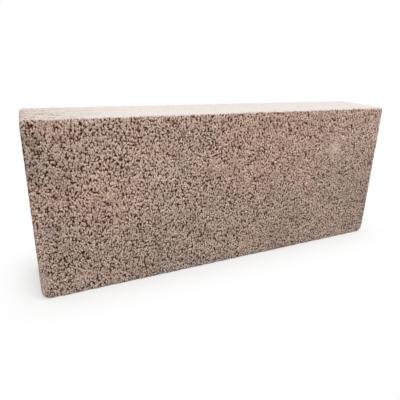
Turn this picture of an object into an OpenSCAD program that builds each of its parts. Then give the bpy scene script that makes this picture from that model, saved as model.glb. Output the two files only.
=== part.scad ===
// Solid refractory block, moulded in one piece from bonded lightweight grains.
// It stands on its long edge: X runs along its length, Y through its thickness
// and Z up its height, with the origin at the middle of its underside.
// The face towards -Y is the front. All sizes are in millimetres.

/* [Block] */
// Length from end to end
length = 600; // [300:1:900]
// Height from the underside to the top bed
height = 250; // [120:1:400]
// Thickness from the front face to the back face
thickness = 100; // [50:1:200]

/* [Corners] */
// Radius of the two corners at the underside, seen from the front
bottom_corner_r = 13; // [4:0.5:30]
// Radius of the two corners at the top bed, seen from the front
top_corner_r = 7; // [4:0.5:30]

/* [Arrises] */
// Radius of the worn edge round the front face and round the back face
arris_r = 1.5; // [0.5:0.1:3]

/* [Hidden] */
$fn = 96;
end_x = length / 2;
face_y = thickness / 2;

// The outline's corners, anticlockwise from the front: the arc's centre, its radius and the angle where it starts
corners = [
    [[end_x - bottom_corner_r, bottom_corner_r], bottom_corner_r, 270],
    [[end_x - top_corner_r, height - top_corner_r], top_corner_r, 0],
    [[-end_x + top_corner_r, height - top_corner_r], top_corner_r, 90],
    [[-end_x + bottom_corner_r, bottom_corner_r], bottom_corner_r, 180],
];

// The point of an arris line at an angle round a corner: the line runs arris_r inside the outline
function arris_point(corner, angle) = corner[0] + (corner[1] - arris_r) * [cos(angle), sin(angle)];

// The waste left outside a corner's arc, in the corner's own square
module corner_waste(radius) {
    difference() {
        square(radius + 1);
        circle(radius);
    }
}

// The front outline, X by Z, with four rounded corners, set in all round by an inset
module outline(inset) {
    difference() {
        translate([-end_x + inset, inset]) square([length - 2 * inset, height - 2 * inset]);
        for (c = corners) translate(c[0]) rotate(c[2]) corner_waste(c[1] - inset);
    }
}

// Carries a flat drawing, X by Z, along Y by a depth that is centred on the block
module through(depth) {
    rotate([90, 0, 0]) translate([0, 0, -depth / 2]) linear_extrude(depth) children();
}

// The rounded arris at one corner: a quarter ring
module arris_ring(corner) {
    translate(corner[0]) rotate(corner[2])
        rotate_extrude(angle = 90) translate([corner[1] - arris_r, 0]) circle(arris_r);
}

// The rounded arris along one side, from one corner's arc to the next: a round bar
module arris_bar(corner, next) {
    start = arris_point(corner, next[2]);
    run = arris_point(next, next[2]) - start;
    translate(start) rotate([0, 90, atan2(run[1], run[0])]) cylinder(h = norm(run), r = arris_r);
}

// The rounded arris all round one face, at that face's place along Y
module arris(y) {
    translate([0, y, 0]) rotate([90, 0, 0]) for (i = [0 : len(corners) - 1]) {
        arris_ring(corners[i]);
        arris_bar(corners[i], corners[(i + 1) % len(corners)]);
    }
}

module brick() {
    color([0.66, 0.56, 0.50]) union() {
        through(thickness - 2 * arris_r) outline(0);
        through(thickness) outline(arris_r);
        arris(-face_y + arris_r);
        arris(face_y - arris_r);
    }
}

brick();
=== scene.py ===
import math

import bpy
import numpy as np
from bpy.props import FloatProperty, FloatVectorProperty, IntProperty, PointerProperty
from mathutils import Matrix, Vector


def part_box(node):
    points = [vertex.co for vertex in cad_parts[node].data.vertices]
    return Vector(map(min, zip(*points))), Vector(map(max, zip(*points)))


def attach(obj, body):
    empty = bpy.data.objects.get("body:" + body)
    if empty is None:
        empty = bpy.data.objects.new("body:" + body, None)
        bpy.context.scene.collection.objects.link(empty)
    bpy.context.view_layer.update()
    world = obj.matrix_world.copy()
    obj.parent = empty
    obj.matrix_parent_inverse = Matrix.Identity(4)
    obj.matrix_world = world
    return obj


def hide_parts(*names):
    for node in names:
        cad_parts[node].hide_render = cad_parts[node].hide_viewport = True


bl_info = {
    "name": "Refractory Block",
    "version": (1, 0, 0),
    "blender": (4, 5, 0),
    "location": "View3D > Sidebar > Block",
    "description": "Dresses a moulded refractory block of bonded grains, and sets the stage round it",
    "category": "Object",
}

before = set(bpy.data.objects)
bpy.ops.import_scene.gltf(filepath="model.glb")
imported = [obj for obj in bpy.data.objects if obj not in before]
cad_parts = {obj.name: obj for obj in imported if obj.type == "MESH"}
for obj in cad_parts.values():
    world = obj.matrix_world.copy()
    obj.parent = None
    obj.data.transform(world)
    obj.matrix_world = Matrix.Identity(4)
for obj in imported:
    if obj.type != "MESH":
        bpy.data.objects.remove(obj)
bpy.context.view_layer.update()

MM = 0.001
NODE = "brick"
LOWEST, HIGHEST = (np.array(corner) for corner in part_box(NODE))
LEFT, FRONT, FOOT = LOWEST
RIGHT, BACK, TOP = HIGHEST

# The bake map's sides: the way each one faces, and the ways that run across and up it in the net
NET_STACK = (
    ((0, 0, -1), (1, 0, 0), (0, -1, 0)),
    ((0, -1, 0), (1, 0, 0), (0, 0, 1)),
    ((0, 0, 1), (1, 0, 0), (0, 1, 0)),
    ((0, 1, 0), (1, 0, 0), (0, 0, -1)),
)
NET_ENDS = (
    ((-1, 0, 0), (0, -1, 0), (0, 0, 1)),
    ((1, 0, 0), (0, 1, 0), (0, 0, 1)),
)
NET_GAP = 3 * MM

ARRIS_POINTS = 3  # points along the quarter turn of an arris

# Spans: where a value counts as 0, and where it counts as 1
NOISE_MIDDLE = (0.5, 0.5, 0.5)
NOISE_SPAN = (0.3, 0.7)
LUMP_SPAN = (0.50, 0.66)
CROWN_SPAN = (0.475, 0.308)
COARSE_SPAN = (0.38, 0.62)
WEAR_SPAN = (0.35, 0.75)
EDGE_SPAN = (0.25, 0.75)
STREAK_SPAN = (0.48, 0.66)
BLUSH_SPAN = (0.35, 0.65)
WARMTH_SPAN = (0.26, 0.58)
LIME_SPAN = (0.40, 0.66)
RUST_SPAN = (0.70, 0.78)

# Levels of the grain field
SEAM_LEVEL = -0.6
VOID_LEVEL = -2.2
BUMP_LEVEL = -2.0
FLECK_SPAN = (0.1, 1.85)
# Where the grain field paints shade into the voids, from none to full
VOID_SHADE_SPAN = (-0.1, -1.65)

# How squarely the surface faces up where the bed starts and where it is full, and how far it has turned
# from the nearest side where an edge starts and where it is full
BED_TURN = (0.75, 0.98)
EDGE_TURN = (0.02, 0.29)

CLOSENESS = (1.06, 1.0, 0.72)  # how closely the grains lie along, through and up the block; 1 is as spaced
DRAWN_OUT = (0.3, 1.0, 1.0)  # the paste's streaks are drawn out along the block
WARMTH_AND_PAINTED_LIGHT_WAY = (0.02, 0.0, 1.1)  # how much warmer the grains get a metre along, through and up the block; up the block it is also painted light, the greyer grains lower down being darker as the light from above falls off
ROUGHNESS = (0.80, 0.97)  # of the smoothest and the roughest sand
SPECULAR = 0.2

# Patches: the middle and the radius of each
SMEARS = (
    ((0.194, FRONT, 0.181), 22 * MM),
    ((-0.244, FRONT, 0.024), 15 * MM),
    ((-0.300, FRONT, 0.054), 21 * MM),
    ((-0.300, FRONT, 0.024), 21 * MM),
    ((-0.120, BACK, 0.160), 16 * MM),
)
CLOTS = (  # where a smear lies thickest
    ((0.197, FRONT, 0.178), 10 * MM),
)
WARM_ZONES = (
    ((0.07, FRONT, 0.215), 0.17),
    ((-0.20, FRONT, 0.135), 0.08),
    ((-0.10, BACK, 0.17), 0.15),
)
COOL_ZONES = (
    ((-0.12, FRONT, 0.24), 0.145),
    ((-0.31, FRONT, 0.21), 0.07),
    ((0.16, BACK, 0.12), 0.14),
)
# Painted shade: patches darkened where less light falls, at the ends of the front and along the foot
SHADE_ZONES = (
    ((-0.31, FRONT, 0.205), 0.11),
    ((0.33, FRONT, 0.09), 0.13),
    ((0.10, FRONT, 0.0), 0.07),
    ((-0.155, FRONT, 0.0), 0.05),
    ((-0.24, BACK, 0.06), 0.11),
)
# Paler grain in patches; the large one at the top of the front's right end is painted light, brighter where
# the lamp falls
PALE_AND_LIT_ZONES = (
    ((0.30, FRONT, 0.26), 0.22),
    ((-0.14, FRONT, 0.155), 0.08),
    ((-0.25, BACK, 0.23), 0.15),
)

# The stage
CAMERA_PLACE = (-0.28952, -0.54411, 0.32858)
CAMERA_AIM = (-0.04252, FRONT, 0.13414)
CAMERA_ROLL = math.radians(2.173)
CAMERA_SHIFT = (-0.0334, -0.0296)
SOFTBOX_PLACE = (0.15, -0.9, 1.3)
SOFTBOX_AIM = (0.05, 0.0, 0.22)
FLOOR_REACH = 20.0
FLOOR_FADE = (-0.06, 0.08)  # the floor fades to white between these distances out from the block's sides


# Settings


def length(name, description, default):
    """A length that a user may change, in metres."""
    return FloatProperty(name=name, description=description, default=default, min=0.0,
                         precision=4, subtype="DISTANCE", unit="LENGTH")


def share(name, description, default, most=1.0):
    """A plain number that a user may change, from 0 up."""
    return FloatProperty(name=name, description=description, default=default, min=0.0, max=most)


def colour(name, description, default):
    """A colour that a user may change, in linear light."""
    return FloatVectorProperty(name=name, description=description, default=default,
                               min=0.0, max=1.0, size=3, subtype="COLOR")


class BlockSizes(bpy.types.PropertyGroup):
    """Radii of the block's corners and edges, and the fineness of its mesh."""

    bottom_corner: length("Bottom corners", "Radius of the two corners at the underside", 13 * MM)
    top_corner: length("Top corners", "Radius of the two corners at the top bed", 7 * MM)
    arris: length("Arrises", "Radius of the edge round the front and back faces", 1.5 * MM)
    edge_wear: length("Edge wear", "Most that rubbing has taken off an arris", 0.9 * MM)
    wear_size: length("Wear size", "Size of the worn places", 9 * MM)
    cell: length("Surface cell", "Side of the cells that the surface is worked out on", 1.0 * MM)
    triangles: IntProperty(name="Triangles", description="How many triangles the block keeps",
                           default=196000, min=1000, max=199000)


class GrainSizes(bpy.types.PropertyGroup):
    """Sizes of the grains that the block is moulded from, and of the voids between them."""

    pitch: length("Grain spacing", "Mean distance from one grain to the next", 2.3 * MM)
    lump: length("Lump size", "Size of the lumps that the grains bake into", 1.8 * MM)
    sway: length("Sway", "How far the grains stray from their rows", 1.4 * MM)
    coarse_size: length("Coarse patches", "Size of the patches where the mix is coarser", 20 * MM)
    coarseness: share("Coarseness", "How much stronger the grains stand out in a coarse patch", 0.12)
    void: length("Void depth", "Deepest that a void between the grains is open", 2.4 * MM)
    relief: length("Grain relief", "Height of a grain over the seams round it", 0.10 * MM)
    grit: length("Grit", "Size of the sand in the paste", 1.3 * MM)


class Paste(bpy.types.PropertyGroup):
    """The pale paste that the mould leaves on the top bed, and smears over a few places elsewhere. Its
    paleness on the top bed is partly painted light.
    """

    fill: share("Fill", "Share of a void's depth that the paste fills on the top bed", 0.75)
    hide: share("Hide", "Share of a void's dark bottom that the paste hides on the top bed", 0.9)
    lap: length("Lap", "How far below the top bed the paste starts", 2.5 * MM)
    full: length("Full", "How far below the top bed the paste is full", 0.8 * MM)
    ragged: length("Ragged edge", "How far the paste's edge rises and falls", 3 * MM)
    ragged_size: length("Ragged size", "Size of the waves in the paste's edge", 8 * MM)
    run: length("Run", "How far the paste runs down the ends at the top corners", 10 * MM)
    thin_end: length("Thin end", "How far from the left end the paste is thin throughout", 80 * MM)
    thick_end: length("Thick end", "How far from the left end the paste is nowhere thin", 240 * MM)
    thin_sway: length("Thin sway", "How far that border strays along the block", 160 * MM)
    thin_size: length("Thin size", "Size of the waves in that border", 14 * MM)
    streak: length("Streak width", "Width of the streaks of grain that show through thin paste", 4 * MM)
    least_streak: share("Between streaks", "Share of grain that shows between the streaks", 0.1)
    most_streak: share("Streaks", "Share of grain that shows in the streaks", 0.85)
    end_wear: share("End wear", "How much wider the streaks are at the left end", 0.05)
    end_worn: length("Worn end", "How far from the left end the streaks start to widen", 25 * MM)
    end_bare: length("Bare end", "How far from the left end the streaks are widest", 5 * MM)
    blush: share("Blush", "Share of pinker paste in its patches", 0.15)
    thin_blush: share("Thin blush", "Share of pinker paste added where the paste is thin", 0.25)
    blush_size: length("Blush size", "Size of the patches of pinker paste", 9 * MM)
    smear: share("Smears", "Share of a void that a smear of paste fills", 0.7)
    smear_size: length("Smear size", "Size of the waves in a smear's edge", 9 * MM)
    smear_tint: share("Smear tint", "Share of pale paste in a smear's colour", 0.42)
    clot_tint: share("Clot tint", "Share of pale paste added where a smear lies thickest", 0.38)
    rim: length("Rim", "Width of the thin smear beside the upright arrises", 14 * MM)
    rim_smear: share("Rim smear", "Strength of the thin smear beside the upright arrises", 0.18)


class Variation(bpy.types.PropertyGroup):
    """How the colour of the grains varies over the block."""

    drift: share("Drift", "How far the warmth of the grains drifts", 0.5)
    drift_size: length("Drift size", "Size of the drifts", 80 * MM)
    zone: share("Zones", "How far a warm or a cool zone shifts the warmth", 0.16)
    pale: share("Pale zones", "Share of pale grain in a pale zone", 0.25)
    # Painted shade: how much darker a shaded patch is
    shade: share("Dim zones", "Share of its tone that a dim zone loses", 0.17)
    # The foot is painted shade: greyer, darker grain along the bottom of the block, where less of the light
    # from above reaches
    foot: share("Foot", "Share of ashy grain along the foot", 0.7)
    foot_top: length("Foot top", "Height at which the ashy foot ends", 50 * MM)
    foot_full: length("Foot full", "Height below which the foot is ashiest", 15 * MM)
    foot_sway: length("Foot sway", "How far the foot's border rises and falls", 40 * MM)
    lime: share("Lime", "Most share of buff grain", 0.5)
    lime_size: length("Lime size", "Size of the zones of buff grain", 45 * MM)
    rust: share("Rust", "Share of rust in a rusty grain", 0.6)
    rust_size: length("Rust size", "Distance between the rusty places", 16 * MM)
    clouds: share("Clouds", "How much lighter or darker a cloud is", 0.09)
    cloud_size: length("Cloud size", "Size of the clouds", 24 * MM)
    grit: share("Grit tone", "How much lighter or darker a grain of sand is", 0.15)


class Finish(bpy.types.PropertyGroup):
    """Colours of the block."""

    pinkish: colour("Pinkish grains", "Grains in the warmer zones", (0.620, 0.405, 0.324))
    # The greyish grains are also darker, so that the drift down the block paints shade lower on it
    greyish: colour("Greyish grains", "Grains in the cooler zones", (0.470, 0.355, 0.290))
    # Painted shade along the foot
    shaded: colour("Ashy grains", "Grains along the foot of the block", (0.445, 0.356, 0.318))
    buff: colour("Buff grains", "Grains in the zones rich in lime", (0.582, 0.407, 0.294))
    rusty: colour("Rusty grains", "The few grains rich in iron", (0.42, 0.21, 0.125))
    fleck: colour("Flecks", "The palest grains", (0.95, 0.74, 0.63))
    # Painted shade: the voids' colour darkens them to stand for the shade down in them
    void: colour("Voids", "The bottom of the voids", (0.060, 0.010, 0.002))
    # The paste's colours are partly its own and partly painted light: they are paler than the grains because
    # the top bed is lit more brightly
    skin: colour("Paste", "The pale paste on the top bed", (0.82, 0.75, 0.711))
    cream: colour("Thin paste", "The paste where it is thin, towards the left end", (0.740, 0.705, 0.662))
    blush: colour("Blushed paste", "The paste where it has fired pinkest", (0.83, 0.665, 0.615))


class Stage(bpy.types.PropertyGroup):
    """The floor, the light and the camera."""

    floor: colour("Floor", "The floor as it is seen", (0.98, 0.98, 0.98))
    bounce: colour("Floor bounce", "The floor as it lights the block", (0.20, 0.19, 0.18))
    sky: share("Sky", "Strength of the even light from all round", 0.85, 4.0)
    softbox: FloatProperty(name="Softbox", description="Power of the lamp above the front",
                           default=7.5, min=0.0, subtype="POWER", unit="POWER")
    softbox_width: length("Softbox width", "Width of the lamp", 1.2)
    softbox_depth: length("Softbox depth", "Depth of the lamp", 0.8)
    lens: FloatProperty(name="Lens", description="Focal length", default=33.9, min=1.0,
                        subtype="DISTANCE_CAMERA")


# Nodes


def add_node(tree, kind, sockets=None, **settings):
    """A node with its settings, and its input sockets set to values or linked to other nodes' outputs."""
    made = tree.nodes.new(kind)
    for key, value in settings.items():
        setattr(made, key, value)
    for key, value in (sockets or {}).items():
        if isinstance(value, bpy.types.NodeSocket):
            tree.links.new(value, made.inputs[key])
        else:
            made.inputs[key].default_value = value
    return made


def maths(tree, operation, *values):
    """The output of a Math node on one to three values."""
    return add_node(tree, "ShaderNodeMath", dict(enumerate(values)), operation=operation).outputs[0]


def vector_maths(tree, operation, *values):
    """The vector output of a Vector Math node on one or two vectors."""
    made = add_node(tree, "ShaderNodeVectorMath", dict(enumerate(values)), operation=operation)
    return made.outputs["Vector"]


def vector_value(tree, operation, *values):
    """The value output of a Vector Math node, such as a length or a distance."""
    made = add_node(tree, "ShaderNodeVectorMath", dict(enumerate(values)), operation=operation)
    return made.outputs["Value"]


def scaled(tree, vector, scale):
    """A vector or a colour times a number."""
    sockets = {0: vector, "Scale": scale}
    return add_node(tree, "ShaderNodeVectorMath", sockets, operation="SCALE").outputs["Vector"]


def mixed(tree, factor, first, second):
    """The colour output of a Mix node."""
    made = add_node(tree, "ShaderNodeMix", data_type="RGBA")
    colours = [socket for socket in made.inputs if socket.type == "RGBA"]
    for socket, value in ((made.inputs[0], factor), (colours[0], first), (colours[1], second)):
        if isinstance(value, bpy.types.NodeSocket):
            tree.links.new(value, socket)
        else:
            socket.default_value = value
    return next(socket for socket in made.outputs if socket.type == "RGBA")


def ramped(tree, value, start, end, low=0.0, high=1.0, straight=False):
    """A value eased from low at start to high at end, or carried on straight through both."""
    sockets = {"Value": value, "From Min": start, "From Max": end, "To Min": low, "To Max": high}
    if straight:
        return add_node(tree, "ShaderNodeMapRange", sockets, clamp=False).outputs["Result"]
    return add_node(tree, "ShaderNodeMapRange", sockets, interpolation_type="SMOOTHSTEP").outputs["Result"]


def varied(tree, value, amount):
    """A factor from 1 less the amount to 1 plus the amount, as a noise runs over its span."""
    return ramped(tree, value, *NOISE_SPAN, 1 - amount, 1 + amount)


def noise(tree, position, size, detail=2.0, roughness=0.5):
    """The value output of a noise texture whose features are about this large."""
    sockets = {"Vector": position, "Scale": 1 / size, "Detail": detail, "Roughness": roughness}
    return add_node(tree, "ShaderNodeTexNoise", sockets).outputs["Fac"]


def separated(tree, vector):
    """The outputs X, Y and Z of a vector."""
    return add_node(tree, "ShaderNodeSeparateXYZ", {0: vector}).outputs


# Grains


def grain_field(tree, position, grains):
    """How high a place stands among the grains: -2 in the middle of a void and 2 on the crown of a grain.

    It is the sum of lumps and of the nearness to scattered grain centres, each over its own usual span, and
    stronger where the mix is coarse. Both are taken at a place that sways about, so that no row of them
    shows. The mesh and the material share it.
    """
    position = vector_maths(tree, "MULTIPLY", position, CLOSENESS)
    wave = add_node(tree, "ShaderNodeTexNoise", {"Vector": position, "Scale": 1 / grains.lump, "Detail": 1.0})
    sway = vector_maths(tree, "SUBTRACT", wave.outputs["Color"], NOISE_MIDDLE)
    place = vector_maths(tree, "ADD", position, scaled(tree, sway, grains.sway))
    lumps = noise(tree, place, grains.lump, detail=3.0, roughness=0.6)
    lumps = ramped(tree, lumps, *LUMP_SPAN, straight=True)
    sockets = {"Vector": place, "Scale": 1 / grains.pitch, "Smoothness": 0.4, "Randomness": 0.9}
    centres = add_node(tree, "ShaderNodeTexVoronoi", sockets, feature="SMOOTH_F1")
    crowns = ramped(tree, centres.outputs["Distance"], *CROWN_SPAN, straight=True)
    coarse = noise(tree, position, grains.coarse_size)
    strength = ramped(tree, coarse, *COARSE_SPAN, 1 - grains.coarseness, 1 + grains.coarseness)
    return maths(tree, "MULTIPLY", maths(tree, "ADD", lumps, crowns), strength)


def patches(tree, position, places, wave, ragged, soft):
    """1 within the patches round these places and 0 elsewhere.

    Each is the ball of its radius round its middle. A wave that runs about 0.5 grows and shrinks it by the
    ragged share of the radius, and it fades out over the soft share of it.
    """
    inside = 0.0
    for middle, radius in places:
        away = vector_value(tree, "DISTANCE", position, middle)
        away = maths(tree, "MULTIPLY_ADD", wave, ragged * radius, away)
        rim = (1 + ragged / 2) * radius
        inside = maths(tree, "MAXIMUM", inside, ramped(tree, away, rim, rim - soft * radius))
    return inside


def smear_share(tree, position, paste):
    """Up to 1 where the mould has smeared paste over the grains.

    It does so in ragged patches, and thinly beside the upright arrises.
    """
    wave = noise(tree, position, paste.smear_size, detail=3.0)
    spots = patches(tree, position, SMEARS, wave, ragged=2.4, soft=0.9)
    either_way = separated(tree, vector_maths(tree, "ABSOLUTE", position))
    along = ramped(tree, either_way["X"], RIGHT - paste.rim, RIGHT, 0.0, paste.rim_smear)
    beside = ramped(tree, either_way["Y"], BACK - paste.rim, BACK)
    return maths(tree, "MAXIMUM", spots, maths(tree, "MULTIPLY", along, beside))


def mould_fields(tree, position, sizes, grains, paste):
    """The values that the mesh takes from nodes, by name."""
    return {
        "grain": grain_field(tree, position, grains),
        "smear": smear_share(tree, position, paste),
        "wear": noise(tree, position, sizes.wear_size),
    }


def sampled(points, sizes, grains, paste):
    """The mould's fields at each point, as arrays by name, worked out by the same nodes as the material's."""
    mesh = bpy.data.meshes.new("points")
    mesh.vertices.add(len(points))
    mesh.vertices.foreach_set("co", points.astype(np.float32).ravel())
    tree = bpy.data.node_groups.new("Mould Fields", "GeometryNodeTree")
    for direction in ("INPUT", "OUTPUT"):
        tree.interface.new_socket("Geometry", in_out=direction, socket_type="NodeSocketGeometry")
    geometry = tree.nodes.new("NodeGroupInput").outputs[0]
    position = tree.nodes.new("GeometryNodeInputPosition").outputs[0]
    fields = mould_fields(tree, position, sizes, grains, paste)
    for name, value in fields.items():
        sockets = {"Geometry": geometry, "Name": name, "Value": value}
        geometry = add_node(tree, "GeometryNodeStoreNamedAttribute", sockets).outputs[0]
    tree.links.new(geometry, tree.nodes.new("NodeGroupOutput").inputs[0])

    cloud = bpy.data.objects.new("points", mesh)
    bpy.context.scene.collection.objects.link(cloud)
    cloud.modifiers.new("Fields", "NODES").node_group = tree
    found = cloud.evaluated_get(bpy.context.evaluated_depsgraph_get()).data
    arrays = {}
    for name in fields:
        arrays[name] = np.empty(len(points), np.float32)
        found.attributes[name].data.foreach_get("value", arrays[name])
    bpy.data.objects.remove(cloud)
    bpy.data.meshes.remove(mesh)
    bpy.data.node_groups.remove(tree)
    return arrays


# Block


def fold_corner(across, up, radius):
    """Bends the square between a corner's arc centre and its tip into the quarter disc inside the arc.

    A point at across and up from the centre goes to the distance of the larger of the two, at an angle of
    45 degrees times the smaller over the larger. Points outside the square stay where they are.
    """
    inside = (across > 0) & (up > 0)
    larger = np.maximum(across, up)
    turn = math.pi / 4 * np.minimum(across, up) / np.where(inside, larger, radius)
    beside = larger * np.cos(turn)
    over = larger * np.sin(turn)
    flat = across >= up
    return (np.where(inside, np.where(flat, beside, over), across),
            np.where(inside, np.where(flat, over, beside), up))


def fold_corners(x, z, sizes):
    """The points x, z of the face's rectangle, with its four corners bent to their arcs."""
    for side in (-1, 1):
        for level, corner in ((-1, sizes.bottom_corner), (1, sizes.top_corner)):
            radius = corner - sizes.arris
            tip_x = side * (RIGHT - sizes.arris)
            tip_z = TOP - sizes.arris if level > 0 else FOOT + sizes.arris
            centre_x = tip_x - side * radius
            centre_z = tip_z - level * radius
            across, up = fold_corner(side * (x - centre_x), level * (z - centre_z), radius)
            x = centre_x + side * across
            z = centre_z + level * up
    return x, z


def ring_of(columns, rows):
    """Numbers of a grid's border points, anticlockwise from its first, where rows follow one another."""
    grid = np.arange((columns + 1) * (rows + 1)).reshape(rows + 1, columns + 1)
    return np.concatenate([grid[0, :-1], grid[:-1, -1], grid[-1, :0:-1], grid[:0:-1, 0]])


def strip_quads(first, second, closed=False):
    """Quads between two rows of point numbers: a step along the first and a step back along the second."""
    if closed:
        first = np.append(first, first[..., :1], axis=-1)
        second = np.append(second, second[..., :1], axis=-1)
    corners = [first[..., :-1], first[..., 1:], second[..., 1:], second[..., :-1]]
    return np.stack(corners, axis=-1).reshape(-1, 4)


def cells_in(span, sizes):
    """How many surface cells fill a span between two arrises."""
    return round((span - 2 * sizes.arris) / sizes.cell)


def block_skin(sizes):
    """Points and quads of the smooth block, as the mould leaves it.

    The front and back faces are grids over x and z, with their corners bent to arcs. The band between them
    is a grid of two parameters: the way round the face's border, and the way along a section that turns a
    quarter round the front arris, runs straight through and turns a quarter round the back arris.
    """
    inset = sizes.arris
    columns, layers, rows = (cells_in(span, sizes) for span in HIGHEST - LOWEST)
    x, z = np.meshgrid(np.linspace(LEFT + inset, RIGHT - inset, columns + 1),
                       np.linspace(FOOT + inset, TOP - inset, rows + 1))
    x, z = (flat.ravel() for flat in fold_corners(x, z, sizes))
    front = np.stack([x, np.full_like(x, FRONT), z], axis=1)
    back = np.stack([x, np.full_like(x, BACK), z], axis=1)

    ring = ring_of(columns, rows)
    ring_x, ring_z = x[ring], z[ring]
    out_x, out_z = border_normals(ring_x, ring_z, sizes)
    quarter = np.linspace(0, math.pi / 2, ARRIS_POINTS)
    rise = inset * np.sin(quarter)
    sink = inset * (1 - np.cos(quarter))
    straight = np.linspace(FRONT + inset, BACK - inset, layers + 1)[1:-1]
    section_out = np.concatenate([rise, np.full(len(straight), inset), rise[::-1]])[1:-1, None]
    section_y = np.concatenate([FRONT + sink, straight, BACK - sink[::-1]])[1:-1, None]
    band_x = ring_x + section_out * out_x
    band_z = ring_z + section_out * out_z
    band = np.stack([band_x, section_y + 0 * band_x, band_z], axis=2)

    points = np.concatenate([front, back, band.reshape(-1, 3)])
    grid = np.arange(len(front)).reshape(rows + 1, columns + 1)
    band_rows = 2 * len(front) + np.arange(band.shape[0] * band.shape[1]).reshape(band.shape[:2])
    loops = np.concatenate([ring[None], band_rows, ring[None] + len(front)])
    face = strip_quads(grid[:-1], grid[1:])
    quads = np.concatenate([face, face[:, ::-1] + len(front),
                            strip_quads(loops[:-1], loops[1:], closed=True)[:, ::-1]])
    return points, quads


def border_normals(x, z, sizes):
    """The outward direction at each point of the face's border.

    It is straight out on a side, and away from the arc's centre at a corner.
    """
    out_x, out_z = np.zeros_like(x), np.zeros_like(z)
    for level, corner, edge in ((-1, sizes.bottom_corner, FOOT), (1, sizes.top_corner, TOP)):
        centre_z = edge - level * corner
        radius = corner - sizes.arris
        for side in (-1, 1):
            centre_x = side * (RIGHT - corner)
            on_arc = (side * (x - centre_x) > 0) & (level * (z - centre_z) > 0)
            out_x = np.where(on_arc, (x - centre_x) / radius, out_x)
            out_z = np.where(on_arc, (z - centre_z) / radius, out_z)
    plain = (out_x == 0) & (out_z == 0)
    near = 1e-6
    at_side = np.abs(np.abs(x) - (RIGHT - sizes.arris)) < near
    out_x = np.where(plain & at_side, np.sign(x), out_x)
    up_or_down = np.where(z > (FOOT + TOP) / 2, 1.0, -1.0)
    out_z = np.where(plain & ~at_side, up_or_down, out_z)
    return out_x, out_z


def inward_lines(points, sizes):
    """The direction from each point to the nearest point of the block's core.

    The core is the box that starts one bottom corner's radius inside the block's own.
    """
    core = np.clip(points, LOWEST + sizes.bottom_corner, HIGHEST - sizes.bottom_corner)
    way = core - points
    return way / np.linalg.norm(way, axis=1, keepdims=True)


def smooth_step(value, start, end):
    """0 before start, 1 after end, and 3t^2 - 2t^3 between them."""
    t = np.clip((value - start) / (end - start), 0, 1)
    return t * t * (3 - 2 * t)


def grain_relief(points, inward, sizes, grains, paste):
    """How far below the mould's face the surface lies at each point.

    The grains' crowns touch the mould, and the voids between them go down to the void's depth, eased from 0
    where the grain field is at the seams' level to 1 at the voids' level. Paste fills most of them on the top
    bed and some of them where it is smeared, and rubbing has rounded the arrises.
    """
    fields = sampled(points, sizes, grains, paste)
    depth = grains.void * smooth_step(-fields["grain"], -SEAM_LEVEL, -VOID_LEVEL)
    on_bed = smooth_step(-inward[:, 2], *BED_TURN)
    depth *= (1 - on_bed * paste.fill) * (1 - fields["smear"] * paste.smear)
    at_edge = smooth_step(1 - np.abs(inward).max(axis=1), *EDGE_TURN)
    wear = smooth_step(fields["wear"], *WEAR_SPAN)
    return np.maximum(depth, at_edge * wear * sizes.edge_wear)


def depth_below(points, sizes):
    """How far inside the smooth block each point lies.

    It is minus the signed distance to the block's outline, rounded with the corners' radii, combined with the
    signed distance to its two faces, rounded with the arris radius.
    """
    outside = np.maximum(LOWEST - points, points - HIGHEST)
    corner = np.where(points[:, 2] > (FOOT + TOP) / 2, sizes.top_corner, sizes.bottom_corner)
    past = np.maximum(outside[:, [0, 2]] + corner[:, None], 0)
    outline = np.linalg.norm(past, axis=1) - corner
    inner = np.maximum(outside[:, 0], outside[:, 2])
    outline = np.where((past > 0).any(axis=1), outline, inner)
    both = np.stack([outline, outside[:, 1]], axis=1) + sizes.arris
    round_part = np.linalg.norm(np.maximum(both, 0), axis=1) - sizes.arris
    return np.maximum(0, -np.where((both > 0).any(axis=1), round_part, both.max(axis=1) - sizes.arris))


def mesh_from(name, points, quads):
    """A mesh of quads from arrays of points and of point numbers."""
    mesh = bpy.data.meshes.new(name)
    mesh.vertices.add(len(points))
    mesh.vertices.foreach_set("co", points.astype(np.float32).ravel())
    mesh.loops.add(quads.size)
    mesh.loops.foreach_set("vertex_index", quads.astype(np.int32).ravel())
    mesh.polygons.add(len(quads))
    mesh.polygons.foreach_set("loop_start", np.arange(0, quads.size, 4, dtype=np.int32))
    mesh.update(calc_edges=True)
    mesh.validate()
    return mesh


def thinned(mesh, triangles):
    """The mesh with its flatter edges collapsed, down to this many triangles."""
    block = bpy.data.objects.new(mesh.name, mesh)
    bpy.context.scene.collection.objects.link(block)
    thin = block.modifiers.new("Thin", "DECIMATE")
    thin.ratio = triangles / (2 * len(mesh.polygons))
    thin.use_collapse_triangulate = True
    evaluated = block.evaluated_get(bpy.context.evaluated_depsgraph_get())
    result = bpy.data.meshes.new_from_object(evaluated)
    bpy.data.objects.remove(block)
    return result


def vertex_array(mesh):
    """The mesh's vertices as an array of points."""
    points = np.empty(len(mesh.vertices) * 3, np.float32)
    mesh.vertices.foreach_get("co", points)
    return points.reshape(-1, 3)


def give_places(mesh, name, places):
    """Stores one place for each vertex under this name."""
    attribute = mesh.attributes.new(name, "FLOAT_VECTOR", "POINT")
    attribute.data.foreach_set("vector", places.astype(np.float32).ravel())


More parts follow.
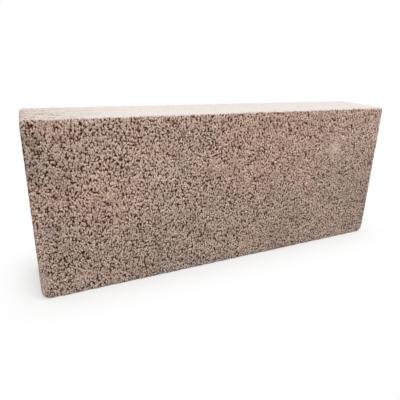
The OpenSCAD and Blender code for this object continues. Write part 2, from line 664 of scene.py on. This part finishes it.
def give_net(mesh, points, inward):
    """Gives a mesh of triangles its bake map: the block's six sides laid flat, as on an unfolded carton.

    The underside, front, top bed and back lie one above the other, and the two ends beside them. A triangle
    goes to the side that it faces most, and is drawn there straight on.
    """
    faces, across, up = (np.array(ways, float) for ways in zip(*NET_STACK, *NET_ENDS))
    across_room, up_room = (np.abs(ways) @ (HIGHEST - LOWEST) + NET_GAP for ways in (across, up))
    stack = len(NET_STACK)
    tops = np.concatenate([np.cumsum(up_room[:stack]), np.cumsum(up_room[stack:])])
    left = np.where(np.arange(len(faces)) < stack, 0, across_room[0]) + NET_GAP
    left -= np.minimum(across * LOWEST, across * HIGHEST).sum(axis=1)
    bottom = tops - up_room + NET_GAP
    bottom -= np.minimum(up * LOWEST, up * HIGHEST).sum(axis=1)

    corners = np.empty(len(mesh.loops), np.int32)
    mesh.loops.foreach_get("vertex_index", corners)
    corners = corners.reshape(-1, 3)
    side = np.argmax(-inward[corners].sum(axis=1) @ faces.T, axis=1)
    u = np.einsum("tcj,tj->tc", points[corners], across[side]) + left[side, None]
    v = np.einsum("tcj,tj->tc", points[corners], up[side]) + bottom[side, None]
    net = np.stack([u, v], axis=2) / (tops.max() + NET_GAP)
    mesh.uv_layers.new(name="OFBake").uv.foreach_set("vector", net.astype(np.float32).ravel())


def make_block(sizes, grains, paste, variation, finish):
    """The moulded block: its smooth skin pushed in between the grains, and thinned where it is flat."""
    points, quads = block_skin(sizes)
    points = points.astype(np.float32)
    inward = inward_lines(points, sizes).astype(np.float32)
    points += inward * grain_relief(points, inward, sizes, grains, paste)[:, None]
    mesh = thinned(mesh_from("block_fine", points, quads), sizes.triangles)
    mesh.name = "moulded_block"
    kept = np.clip(vertex_array(mesh), LOWEST, HIGHEST)
    mesh.vertices.foreach_set("co", kept.astype(np.float32).ravel())
    inward = inward_lines(kept, sizes)
    give_places(mesh, "mould_place", kept - inward * depth_below(kept, sizes)[:, None])
    give_net(mesh, kept, inward)
    mesh.polygons.foreach_set("use_smooth", np.ones(len(mesh.polygons), bool))
    mesh.update()
    block = bpy.data.objects.new("moulded_block", mesh)
    bpy.context.scene.collection.objects.link(block)
    mesh.materials.append(block_material(sizes, grains, paste, variation, finish))
    return block


# Materials


def rgba(three):
    """A colour property as the four numbers of a colour socket."""
    return (*three, 1.0)


def paste_share(tree, position, drawn, sizes, paste):
    """How fully the paste covers a place, and how thin it lies there.

    It covers what stands above an edge that rises and falls just under the top bed, and that hangs lower
    where the top corners turn to the ends. Towards the left end it is thin, and streaks of grain show
    through it.
    """
    parts = separated(tree, position)
    either_way = separated(tree, vector_maths(tree, "ABSOLUTE", position))
    wavy = noise(tree, position, paste.ragged_size, detail=3.0)
    wavy = ramped(tree, wavy, *EDGE_SPAN, straight=True)
    round_corner = ramped(tree, either_way["X"], RIGHT - sizes.top_corner, RIGHT, 0.0, paste.run)
    off_face = ramped(tree, either_way["Y"], BACK, BACK - sizes.arris)
    at_end = maths(tree, "MULTIPLY", round_corner, off_face)
    hang = maths(tree, "MULTIPLY_ADD", at_end, wavy, -paste.ragged / 2)
    hang = maths(tree, "MULTIPLY_ADD", wavy, paste.ragged, hang)
    cover = ramped(tree, maths(tree, "ADD", parts["Z"], hang), TOP - paste.lap, TOP - paste.full)

    border = noise(tree, drawn, paste.thin_size, detail=3.0)
    along = maths(tree, "MULTIPLY_ADD", border, paste.thin_sway, parts["X"])
    thin = ramped(tree, along, LEFT + paste.thin_end, LEFT + paste.thick_end, 1.0, 0.0)
    wear = ramped(tree, parts["X"], LEFT + paste.end_worn, LEFT + paste.end_bare, 0.0, paste.end_wear)
    streaks = maths(tree, "ADD", noise(tree, drawn, paste.streak, detail=3.0), wear)
    streaks = ramped(tree, streaks, *STREAK_SPAN, paste.least_streak, paste.most_streak)
    streaks = maths(tree, "MULTIPLY", maths(tree, "MULTIPLY", thin, thin), streaks)
    return maths(tree, "MULTIPLY", cover, maths(tree, "SUBTRACT", 1.0, streaks)), thin


def pale_paste_and_top_light(tree, drawn, thin, paste, finish):
    """The paste's colour, partly its own and partly painted light for the brighter light on the top bed:
    pale, cream where it is thin, and pinker in patches that are drawn out along the block.
    """
    plain = mixed(tree, thin, rgba(finish.skin), rgba(finish.cream))
    tint = ramped(tree, noise(tree, drawn, paste.blush_size, detail=3.0), *BLUSH_SPAN)
    tint = maths(tree, "MULTIPLY", tint, maths(tree, "MULTIPLY_ADD", thin, paste.thin_blush, paste.blush))
    return mixed(tree, tint, plain, rgba(finish.blush))


def grain_colour(tree, position, field, drift, variation, finish):
    """The grains' colour: greyish to pinkish as the warmth rises, with pale, buff and rusty ones. Painted
    light is part of it: the rise of the warmth up the block, the greyer, darker grain along the foot and the
    dim patches are painted shade, and the pale patch at the top of the right end is painted light.
    """
    # Up the block the warmth also paints light: greyer, darker grain lower down stands for the fall of the
    # light from above
    warmth_and_light_lean = vector_value(tree, "DOT_PRODUCT", position, WARMTH_AND_PAINTED_LIGHT_WAY)
    warmth = maths(tree, "MULTIPLY_ADD", drift, variation.drift, warmth_and_light_lean)
    for zones, shift in ((WARM_ZONES, variation.zone), (COOL_ZONES, -variation.zone)):
        zone = patches(tree, position, zones, drift, ragged=1.0, soft=0.9)
        warmth = maths(tree, "MULTIPLY_ADD", zone, shift, warmth)
    body = mixed(tree, ramped(tree, warmth, *WARMTH_SPAN), rgba(finish.greyish), rgba(finish.pinkish))
    # Paler grain in patches, the one at the top of the right end being painted light
    pale_and_lit_zone = patches(tree, position, PALE_AND_LIT_ZONES, drift, ragged=1.0, soft=1.2)
    body = mixed(tree, maths(tree, "MULTIPLY", pale_and_lit_zone, variation.pale), body, rgba(finish.fleck))
    # Painted shade along the foot: greyer, darker grain low down
    height = maths(tree, "MULTIPLY_ADD", drift, variation.foot_sway, separated(tree, position)["Z"])
    foot = ramped(tree, height, variation.foot_top, variation.foot_full)
    body = mixed(tree, maths(tree, "MULTIPLY", foot, variation.foot), body, rgba(finish.shaded))
    lime = noise(tree, position, variation.lime_size, detail=3.0)
    body = mixed(tree, ramped(tree, lime, *LIME_SPAN, 0.0, variation.lime), body, rgba(finish.buff))
    rust = ramped(tree, noise(tree, position, variation.rust_size), *RUST_SPAN)
    body = mixed(tree, maths(tree, "MULTIPLY", rust, variation.rust), body, rgba(finish.rusty))
    body = mixed(tree, ramped(tree, field, *FLECK_SPAN), body, rgba(finish.fleck))

    # Painted shade in patches at the ends and along the foot
    shade_zone = patches(tree, position, SHADE_ZONES, drift, ragged=1.0, soft=1.0)
    tone = maths(tree, "MULTIPLY_ADD", shade_zone, -variation.shade, 1.0)
    clouds = varied(tree, noise(tree, position, variation.cloud_size), variation.clouds)
    return scaled(tree, body, maths(tree, "MULTIPLY", tone, clouds))


def block_material(sizes, grains, paste, variation, finish):
    """Bonded grains with painted shade in the voids between them, under the mould's pale paste, whose
    paleness on the top bed is partly painted light.

    Colour and bump follow the grain field, which is read at the place on the mould's face that a point was
    pushed in from.
    """
    material = bpy.data.materials.new("bonded_grain")
    material.use_nodes = True
    tree = material.node_tree
    shader = tree.nodes["Principled BSDF"]
    position = add_node(tree, "ShaderNodeAttribute", attribute_name="mould_place").outputs["Vector"]
    drawn = add_node(tree, "ShaderNodeMapping", {"Vector": position, "Scale": DRAWN_OUT}).outputs[0]
    field = grain_field(tree, position, grains)
    grit = noise(tree, position, grains.grit)

    drift = noise(tree, position, variation.drift_size, detail=4.0, roughness=0.6)
    body = grain_colour(tree, position, field, drift, variation, finish)
    body = scaled(tree, body, varied(tree, grit, variation.grit))
    smeared = maths(tree, "MULTIPLY", smear_share(tree, position, paste), paste.smear)
    clot = patches(tree, position, CLOTS, drift, ragged=1.0, soft=1.0)
    smeared = maths(tree, "MAXIMUM", smeared, clot)
    body = mixed(tree, maths(tree, "MULTIPLY", smeared, paste.smear_tint), body, rgba(finish.fleck))
    body = mixed(tree, maths(tree, "MULTIPLY", clot, paste.clot_tint), body, rgba(finish.fleck))
    cover, thin = paste_share(tree, position, drawn, sizes, paste)
    # The paste's colour, partly painted light on the top bed
    body = mixed(tree, cover, body, pale_paste_and_top_light(tree, drawn, thin, paste, finish))
    bare = maths(tree, "MULTIPLY_ADD", cover, -paste.hide, 1.0)
    bare = maths(tree, "MULTIPLY", bare, maths(tree, "SUBTRACT", 1.0, smeared))
    # Painted shade in the voids, left off where the paste fills them or is smeared over them
    void_shade = maths(tree, "MULTIPLY", ramped(tree, field, *VOID_SHADE_SPAN), bare)
    tree.links.new(mixed(tree, void_shade, body, rgba(finish.void)), shader.inputs["Base Color"])

    tree.links.new(ramped(tree, grit, *NOISE_SPAN, *ROUGHNESS), shader.inputs["Roughness"])
    shader.inputs["Specular IOR Level"].default_value = SPECULAR
    unfilled = maths(tree, "MULTIPLY_ADD", cover, -paste.fill, 1.0)
    height = maths(tree, "MULTIPLY", maths(tree, "MAXIMUM", field, BUMP_LEVEL), unfilled)
    height = maths(tree, "ADD", height, grit)
    bump = add_node(tree, "ShaderNodeBump", {"Height": height, "Distance": grains.relief, "Strength": 1.0})
    tree.links.new(bump.outputs[0], shader.inputs["Normal"])
    return material


def seen_directly(tree):
    """1 for rays from the camera, a mirror or a clear thing, and 0 for those that light the block."""
    path = add_node(tree, "ShaderNodeLightPath").outputs
    either = maths(tree, "MAXIMUM", path["Is Camera Ray"], path["Is Glossy Ray"])
    return maths(tree, "MAXIMUM", either, path["Is Transmission Ray"])


def floor_material(stage):
    """A pale floor that keeps the block's shadow, and fades to plain white away from the block."""
    material = bpy.data.materials.new("pale_floor")
    material.use_nodes = True
    tree = material.node_tree
    tree.nodes.remove(tree.nodes["Principled BSDF"])
    output = tree.nodes["Material Output"]
    seen = seen_directly(tree)
    paint = mixed(tree, seen, rgba(stage.bounce), rgba(stage.floor))
    matt = add_node(tree, "ShaderNodeBsdfDiffuse", {"Color": paint}).outputs[0]
    position = add_node(tree, "ShaderNodeTexCoord").outputs["Object"]
    beyond = vector_maths(tree, "SUBTRACT", vector_maths(tree, "ABSOLUTE", position), HIGHEST)
    away = vector_value(tree, "LENGTH", vector_maths(tree, "MAXIMUM", beyond, (0, 0, 0)))
    far = maths(tree, "MULTIPLY", ramped(tree, away, *FLOOR_FADE), seen)
    white = add_node(tree, "ShaderNodeEmission", {"Color": rgba((1, 1, 1)), "Strength": 1.0}).outputs[0]
    both = add_node(tree, "ShaderNodeMixShader", {0: far, 1: matt, 2: white})
    tree.links.new(both.outputs[0], output.inputs["Surface"])
    return material


# Stage


def make_floor(stage):
    """A wide flat floor under the block."""
    corners = np.array([(-1, -1, 0), (1, -1, 0), (1, 1, 0), (-1, 1, 0)]) * FLOOR_REACH
    mesh = mesh_from("floor", corners, np.array([[0, 1, 2, 3]]))
    mesh.materials.append(floor_material(stage))
    floor = bpy.data.objects.new("floor", mesh)
    bpy.context.scene.collection.objects.link(floor)


def turned_to(place, aim, roll=0.0):
    """The matrix of a lamp or camera at a place, facing an aim, rolled about its own axis."""
    turn = (Vector(aim) - Vector(place)).to_track_quat("-Z", "Y").to_matrix().to_4x4()
    return Matrix.Translation(place) @ turn @ Matrix.Rotation(roll, 4, "Z")


def make_softbox(stage):
    """One large soft lamp above the front of the block."""
    lamp = bpy.data.lights.new("softbox", "AREA")
    lamp.shape = "RECTANGLE"
    lamp.size = stage.softbox_width
    lamp.size_y = stage.softbox_depth
    lamp.energy = stage.softbox
    softbox = bpy.data.objects.new("softbox", lamp)
    softbox.matrix_world = turned_to(SOFTBOX_PLACE, SOFTBOX_AIM)
    bpy.context.scene.collection.objects.link(softbox)


def make_sky(stage):
    """Even light from all round, which is seen as plain white."""
    world = bpy.data.worlds.new("even_sky")
    world.use_nodes = True
    tree = world.node_tree
    background = tree.nodes["Background"]
    background.inputs["Color"].default_value = rgba((1, 1, 1))
    strength = maths(tree, "MULTIPLY_ADD", seen_directly(tree), 1 - stage.sky, stage.sky)
    tree.links.new(strength, background.inputs["Strength"])
    bpy.context.scene.world = world


def make_camera(stage):
    """A camera in front of the block's left half, looking down to the right."""
    lens = bpy.data.cameras.new("camera")
    lens.lens = stage.lens
    lens.shift_x, lens.shift_y = CAMERA_SHIFT
    lens.clip_start = 10 * MM
    camera = bpy.data.objects.new("camera", lens)
    camera.matrix_world = turned_to(CAMERA_PLACE, CAMERA_AIM, CAMERA_ROLL)
    bpy.context.scene.collection.objects.link(camera)
    bpy.context.scene.camera = camera


# Operators


class BLOCK_OT_block(bpy.types.Operator):
    """Makes the moulded block in its bonded-grain finish"""

    bl_idname = "block.make_block"
    bl_label = "Make Block"

    def execute(self, context):
        scene = context.scene
        block = make_block(scene.block_sizes, scene.grain_sizes, scene.block_paste,
                           scene.block_variation, scene.block_finish)
        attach(block, "root")
        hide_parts(NODE)
        return {"FINISHED"}


class BLOCK_OT_stage(bpy.types.Operator):
    """Sets the floor, the sky, the softbox and the camera"""

    bl_idname = "block.make_stage"
    bl_label = "Make Stage"

    def execute(self, context):
        stage = context.scene.block_stage
        make_floor(stage)
        make_sky(stage)
        make_softbox(stage)
        make_camera(stage)
        context.scene.view_settings.view_transform = "Standard"
        return {"FINISHED"}


class BLOCK_PT_panel(bpy.types.Panel):
    """Lists the block's settings and the buttons that make it"""

    bl_idname = "BLOCK_PT_panel"
    bl_label = "Refractory Block"
    bl_space_type = "VIEW_3D"
    bl_region_type = "UI"
    bl_category = "Block"

    def draw(self, context):
        for group in GROUPS:
            box = self.layout.box()
            box.label(text=group.replace("_", " ").capitalize())
            settings = getattr(context.scene, group)
            for name in settings.__annotations__:
                box.prop(settings, name)
        for operator in (BLOCK_OT_block, BLOCK_OT_stage):
            self.layout.operator(operator.bl_idname)


GROUPS = {
    "block_sizes": BlockSizes,
    "grain_sizes": GrainSizes,
    "block_paste": Paste,
    "block_variation": Variation,
    "block_finish": Finish,
    "block_stage": Stage,
}
CLASSES = (*GROUPS.values(), BLOCK_OT_block, BLOCK_OT_stage, BLOCK_PT_panel)


def register():
    for made in CLASSES:
        bpy.utils.register_class(made)
    for name, group in GROUPS.items():
        setattr(bpy.types.Scene, name, PointerProperty(type=group))


def unregister():
    for name in GROUPS:
        delattr(bpy.types.Scene, name)
    for made in reversed(CLASSES):
        bpy.utils.unregister_class(made)


def main():
    register()
    bpy.ops.block.make_block()
    bpy.ops.block.make_stage()


if __name__ == "__main__":
    main()
